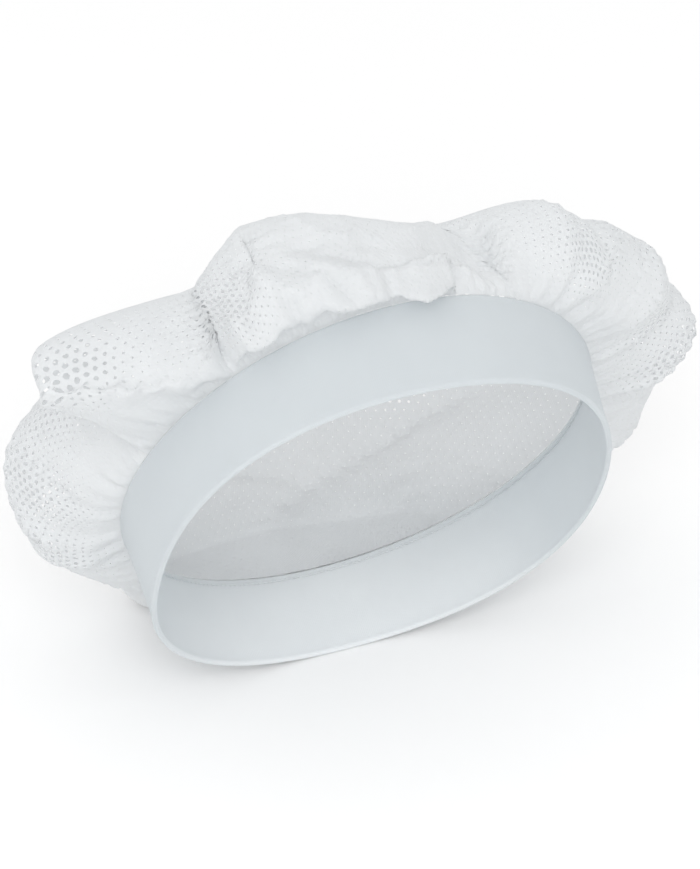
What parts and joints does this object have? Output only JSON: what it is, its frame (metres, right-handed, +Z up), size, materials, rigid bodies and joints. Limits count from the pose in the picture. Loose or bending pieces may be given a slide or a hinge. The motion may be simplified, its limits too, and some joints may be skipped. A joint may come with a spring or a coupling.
{
  "type": "food service hair cap",
  "caption": "Soft head cap with a wide elastic headband and a fine net crown gathered into it and puffed out, lying on its side.",
  "frame": {"origin": "centre of the part's box on the surface that it lies on", "axes": "+Z up; +X along the long way of the head opening; the opening faces -Y and 24 degrees down, the crown is behind it towards +Y"},
  "size_m": [0.2764, 0.1648, 0.1955],
  "materials": {
    "headband": "matt white elastic knit, faintly blue",
    "net": "matt white fine net, faintly green"
  },
  "bodies": {
    "root": {"band": "headband", "crown": "net"}
  },
  "joints": []
}
